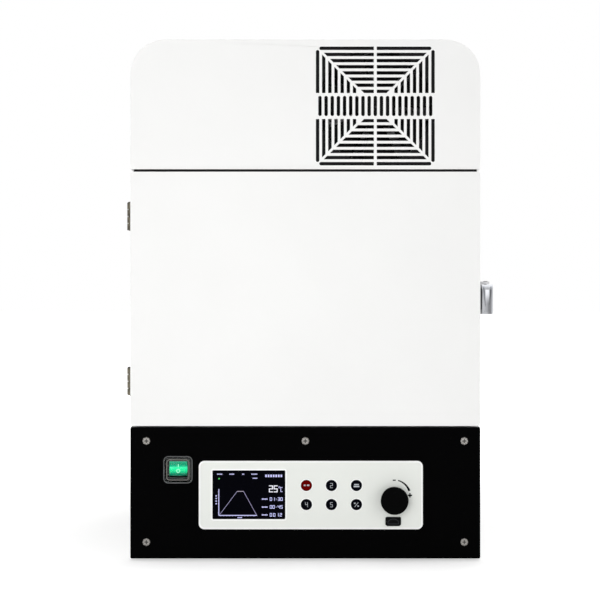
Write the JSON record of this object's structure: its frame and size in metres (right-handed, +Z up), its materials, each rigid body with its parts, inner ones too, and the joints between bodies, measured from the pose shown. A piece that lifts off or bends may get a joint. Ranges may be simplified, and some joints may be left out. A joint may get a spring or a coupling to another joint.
{
  "type": "dental sintering furnace",
  "caption": "Bench microwave furnace for dental work: white casing, side-hinged front door with a side latch, grille in the hood, black control section with display, keys and dial.",
  "frame": {"origin": "middle of the furnace's overall footprint on the surface it stands on", "axes": "+Z up, -Y out of the door's front face, +X to the viewer's right, towards the latch"},
  "size_m": [0.3713, 0.48, 0.521],
  "materials": {
    "white_paint": "fine-textured powder coat",
    "grey_paint": "powder coat",
    "galvanised": "zinc-plated sheet",
    "black_paint": "satin black coat",
    "black_trim": "soft black strip",
    "screw_steel": "plated steel",
    "plate_film": "silver-white printed film",
    "display_glass": "clear pane",
    "display_metal": "module housing",
    "circuit_board": "green solder mask",
    "brass_spacer": "turned brass",
    "plated_shell": "plated shell",
    "black_plastic": "moulded black plastic",
    "clear_silicone": "clear silicone cover",
    "green_lens": "lit green lens",
    "red_key": "dark red cap",
    "dark_key": "blue-black cap",
    "hinge_steel": "plated, browned steel",
    "latch_chrome": "polished chrome",
    "latch_steel": "brushed steel",
    "stainless": "brushed stainless sheet",
    "fibre_board": "rigid alumina fibre board",
    "white_ceramic": "fired alumina",
    "carbide": "dark silicon carbide",
    "gasket": "silicone gasket",
    "magnetron_metal": "cast and sheet metal",
    "transformer_iron": "laminated iron and copper",
    "white_plastic": "moulded white plastic"
  },
  "bodies": {
    "cabinet": {"outer_wrap": "white_paint", "hood_front": "white_paint", "rear_panel": "white_paint", "front_frame": "grey_paint", "base_pan": "galvanised", "air_duct": "galvanised", "power_supply": "galvanised", "front_panel": "black_paint", "hood_trim": "black_trim", "feet": "black_trim", "casing_screws": "screw_steel", "panel_screws": "screw_steel", "hinge_pins": "screw_steel", "latch_pin": "screw_steel", "control_plate": "plate_film", "display_window": "display_glass", "display_module": "display_metal", "control_board": "circuit_board", "board_spacers": "brass_spacer", "encoder": "plated_shell", "usb_socket": "plated_shell", "switch_housing": "black_plastic", "fan_frame": "black_plastic", "mains_inlet": "black_plastic", "interlock_switch": "black_plastic", "switch_boot": "clear_silicone", "hinge_frame_leaves": "hinge_steel", "latch_base": "latch_steel", "cavity": "stainless", "exhaust_duct": "stainless", "waveguide": "stainless", "insulation_block": "fibre_board", "hearth_plate": "white_ceramic", "thermocouple": "white_ceramic", "susceptor_plates": "carbide", "magnetron": "magnetron_metal", "hv_capacitor": "magnetron_metal", "hv_transformer": "transformer_iron"},
    "door": {"door_shell": "white_paint", "door_insulation": "fibre_board", "door_inner_panel": "stainless", "door_gasket": "gasket", "door_plug": "fibre_board", "hinge_door_leaves": "hinge_steel", "latch_keeper": "latch_steel", "interlock_tongue": "white_plastic"},
    "latch": {"latch_lever": "latch_chrome"},
    "rocker": {"power_rocker": "green_lens"},
    "dial": {"knob": "black_plastic", "encoder_shaft": "screw_steel"},
    "port_flap": {"usb_flap": "black_trim"},
    "fan_rotor": {"fan_impeller": "black_plastic", "fan_shaft": "screw_steel"},
    "key_body_1": {"key_1": "red_key"},
    "key_body_2": {"key_2": "dark_key"},
    "key_body_3": {"key_3": "dark_key"},
    "key_body_4": {"key_4": "dark_key"},
    "key_body_5": {"key_5": "dark_key"},
    "key_body_6": {"key_6": "dark_key"}
  },
  "joints": [
    {"name": "door_hinge", "type": "hinge", "parent": "cabinet", "child": "door", "pos_m": [-0.18265, -0.19425, 0.26165], "axis": [0, 0, -1], "range_deg": [0, 135]},
    {"name": "latch_pivot", "type": "hinge", "parent": "cabinet", "child": "latch", "pos_m": [0.18165, -0.18, 0.26165], "axis": [0, 0, 1], "range_deg": [0, 35], "stiffness_Nm_per_rad": 0.05, "springref_deg": -11.46},
    {"name": "power_rocker_tilt", "type": "hinge", "parent": "cabinet", "child": "rocker", "pos_m": [-0.13085, -0.2238, 0.0915], "axis": [1, 0, 0], "range_deg": [0, 20]},
    {"name": "dial_turn", "type": "hinge", "parent": "cabinet", "child": "dial", "pos_m": [0.08445, -0.235, 0.0614], "axis": [0, -1, 0], "continuous": true},
    {"name": "port_flap_hinge", "type": "hinge", "parent": "cabinet", "child": "port_flap", "pos_m": [0.08375, -0.2277, 0.03545], "axis": [1, 0, 0], "range_deg": [0, 95]},
    {"name": "fan_spin", "type": "hinge", "parent": "cabinet", "child": "fan_rotor", "pos_m": [0.06595, -0.211, 0.4545], "axis": [0, 1, 0], "continuous": true},
    {"name": "key_1_press", "type": "slide", "parent": "cabinet", "child": "key_body_1", "axis": [0, 1, 0], "range_m": [0, 0.0006], "stiffness_N_per_m": 300, "springref_m": -0.001},
    {"name": "key_2_press", "type": "slide", "parent": "cabinet", "child": "key_body_2", "axis": [0, 1, 0], "range_m": [0, 0.0006], "stiffness_N_per_m": 300, "springref_m": -0.001},
    {"name": "key_3_press", "type": "slide", "parent": "cabinet", "child": "key_body_3", "axis": [0, 1, 0], "range_m": [0, 0.0006], "stiffness_N_per_m": 300, "springref_m": -0.001},
    {"name": "key_4_press", "type": "slide", "parent": "cabinet", "child": "key_body_4", "axis": [0, 1, 0], "range_m": [0, 0.0006], "stiffness_N_per_m": 300, "springref_m": -0.001},
    {"name": "key_5_press", "type": "slide", "parent": "cabinet", "child": "key_body_5", "axis": [0, 1, 0], "range_m": [0, 0.0006], "stiffness_N_per_m": 300, "springref_m": -0.001},
    {"name": "key_6_press", "type": "slide", "parent": "cabinet", "child": "key_body_6", "axis": [0, 1, 0], "range_m": [0, 0.0006], "stiffness_N_per_m": 300, "springref_m": -0.001}
  ]
}
